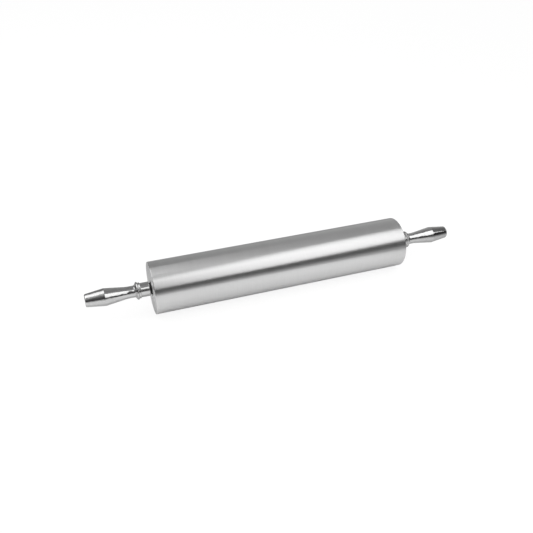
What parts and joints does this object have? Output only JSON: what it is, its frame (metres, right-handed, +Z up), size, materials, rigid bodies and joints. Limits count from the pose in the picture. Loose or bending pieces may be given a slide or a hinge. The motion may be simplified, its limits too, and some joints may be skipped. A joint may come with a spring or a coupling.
{
  "type": "rolling pin",
  "caption": "Heavy aluminium rolling pin: a thick satin tube turns on ball bearings round a steel rod between turned and beaded metal handles.",
  "frame": {"origin": "on the pin's own axis, at the middle of the barrel's length", "axes": "+X along the pin's axis towards the right-hand handle, +Z up from the surface that the barrel lies on, +Y away from someone who rolls with it"},
  "size_m": [0.67, 0.0888, 0.0888],
  "materials": {
    "brushed_aluminium": "satin, with fine lathe marks round the tube",
    "faced_aluminium": "faced on a lathe",
    "polished_aluminium": "polished casting",
    "ground_steel": "ground",
    "ball_steel": "polished",
    "spring_steel": "blackened",
    "seal_rubber": "satin black",
    "black_acetal": "turned, satin black",
    "cage_nylon": "moulded, natural"
  },
  "bodies": {
    "barrel": {"barrel_tube": "brushed_aluminium", "left_end_plug": "faced_aluminium", "left_outer_ring": "ground_steel", "left_outboard_seal": "seal_rubber", "left_inboard_seal": "seal_rubber", "left_bearing_clip": "spring_steel", "right_end_plug": "faced_aluminium", "right_outer_ring": "ground_steel", "right_outboard_seal": "seal_rubber", "right_inboard_seal": "seal_rubber", "right_bearing_clip": "spring_steel"},
    "axle": {"axle_rod": "ground_steel", "left_inner_ring": "ground_steel", "left_spacer": "black_acetal", "left_handle": "polished_aluminium", "right_inner_ring": "ground_steel", "right_spacer": "black_acetal", "right_handle": "polished_aluminium"},
    "left_cage": {"left_cage": "cage_nylon"},
    "left_ball_1": {"left_ball_1": "ball_steel"},
    "left_ball_2": {"left_ball_2": "ball_steel"},
    "left_ball_3": {"left_ball_3": "ball_steel"},
    "left_ball_4": {"left_ball_4": "ball_steel"},
    "left_ball_5": {"left_ball_5": "ball_steel"},
    "left_ball_6": {"left_ball_6": "ball_steel"},
    "left_ball_7": {"left_ball_7": "ball_steel"},
    "right_cage": {"right_cage": "cage_nylon"},
    "right_ball_1": {"right_ball_1": "ball_steel"},
    "right_ball_2": {"right_ball_2": "ball_steel"},
    "right_ball_3": {"right_ball_3": "ball_steel"},
    "right_ball_4": {"right_ball_4": "ball_steel"},
    "right_ball_5": {"right_ball_5": "ball_steel"},
    "right_ball_6": {"right_ball_6": "ball_steel"},
    "right_ball_7": {"right_ball_7": "ball_steel"}
  },
  "joints": [
    {"name": "axle_spin", "type": "hinge", "parent": "barrel", "child": "axle", "pos_m": [0, 0, 0], "axis": [1, 0, 0], "continuous": true},
    {"name": "left_cage_spin", "type": "hinge", "parent": "barrel", "child": "left_cage", "pos_m": [-0.21695, 0, 0], "axis": [1, 0, 0], "continuous": true},
    {"name": "left_ball_1_roll", "type": "hinge", "parent": "left_cage", "child": "left_ball_1", "pos_m": [-0.21695, 0, 0.011], "axis": [1, 0, 0], "continuous": true},
    {"name": "left_ball_2_roll", "type": "hinge", "parent": "left_cage", "child": "left_ball_2", "pos_m": [-0.21695, -0.0086, 0.00686], "axis": [1, 0, 0], "continuous": true},
    {"name": "left_ball_3_roll", "type": "hinge", "parent": "left_cage", "child": "left_ball_3", "pos_m": [-0.21695, -0.01072, -0.00245], "axis": [1, 0, 0], "continuous": true},
    {"name": "left_ball_4_roll", "type": "hinge", "parent": "left_cage", "child": "left_ball_4", "pos_m": [-0.21695, -0.00477, -0.00991], "axis": [1, 0, 0], "continuous": true},
    {"name": "left_ball_5_roll", "type": "hinge", "parent": "left_cage", "child": "left_ball_5", "pos_m": [-0.21695, 0.00477, -0.00991], "axis": [1, 0, 0], "continuous": true},
    {"name": "left_ball_6_roll", "type": "hinge", "parent": "left_cage", "child": "left_ball_6", "pos_m": [-0.21695, 0.01072, -0.00245], "axis": [1, 0, 0], "continuous": true},
    {"name": "left_ball_7_roll", "type": "hinge", "parent": "left_cage", "child": "left_ball_7", "pos_m": [-0.21695, 0.0086, 0.00686], "axis": [1, 0, 0], "continuous": true},
    {"name": "right_cage_spin", "type": "hinge", "parent": "barrel", "child": "right_cage", "pos_m": [0.21695, 0, 0], "axis": [1, 0, 0], "continuous": true},
    {"name": "right_ball_1_roll", "type": "hinge", "parent": "right_cage", "child": "right_ball_1", "pos_m": [0.21695, 0, 0.011], "axis": [1, 0, 0], "continuous": true},
    {"name": "right_ball_2_roll", "type": "hinge", "parent": "right_cage", "child": "right_ball_2", "pos_m": [0.21695, -0.0086, 0.00686], "axis": [1, 0, 0], "continuous": true},
    {"name": "right_ball_3_roll", "type": "hinge", "parent": "right_cage", "child": "right_ball_3", "pos_m": [0.21695, -0.01072, -0.00245], "axis": [1, 0, 0], "continuous": true},
    {"name": "right_ball_4_roll", "type": "hinge", "parent": "right_cage", "child": "right_ball_4", "pos_m": [0.21695, -0.00477, -0.00991], "axis": [1, 0, 0], "continuous": true},
    {"name": "right_ball_5_roll", "type": "hinge", "parent": "right_cage", "child": "right_ball_5", "pos_m": [0.21695, 0.00477, -0.00991], "axis": [1, 0, 0], "continuous": true},
    {"name": "right_ball_6_roll", "type": "hinge", "parent": "right_cage", "child": "right_ball_6", "pos_m": [0.21695, 0.01072, -0.00245], "axis": [1, 0, 0], "continuous": true},
    {"name": "right_ball_7_roll", "type": "hinge", "parent": "right_cage", "child": "right_ball_7", "pos_m": [0.21695, 0.0086, 0.00686], "axis": [1, 0, 0], "continuous": true}
  ],
  "couplings": [
    {"joint": "left_cage_spin", "follows": "axle_spin", "ratio": 0.36477},
    {"joint": "left_ball_1_roll", "follows": "axle_spin", "ratio": -1.7135},
    {"joint": "left_ball_2_roll", "follows": "axle_spin", "ratio": -1.7135},
    {"joint": "left_ball_3_roll", "follows": "axle_spin", "ratio": -1.7135},
    {"joint": "left_ball_4_roll", "follows": "axle_spin", "ratio": -1.7135},
    {"joint": "left_ball_5_roll", "follows": "axle_spin", "ratio": -1.7135},
    {"joint": "left_ball_6_roll", "follows": "axle_spin", "ratio": -1.7135},
    {"joint": "left_ball_7_roll", "follows": "axle_spin", "ratio": -1.7135},
    {"joint": "right_cage_spin", "follows": "axle_spin", "ratio": 0.36477},
    {"joint": "right_ball_1_roll", "follows": "axle_spin", "ratio": -1.7135},
    {"joint": "right_ball_2_roll", "follows": "axle_spin", "ratio": -1.7135},
    {"joint": "right_ball_3_roll", "follows": "axle_spin", "ratio": -1.7135},
    {"joint": "right_ball_4_roll", "follows": "axle_spin", "ratio": -1.7135},
    {"joint": "right_ball_5_roll", "follows": "axle_spin", "ratio": -1.7135},
    {"joint": "right_ball_6_roll", "follows": "axle_spin", "ratio": -1.7135},
    {"joint": "right_ball_7_roll", "follows": "axle_spin", "ratio": -1.7135}
  ]
}
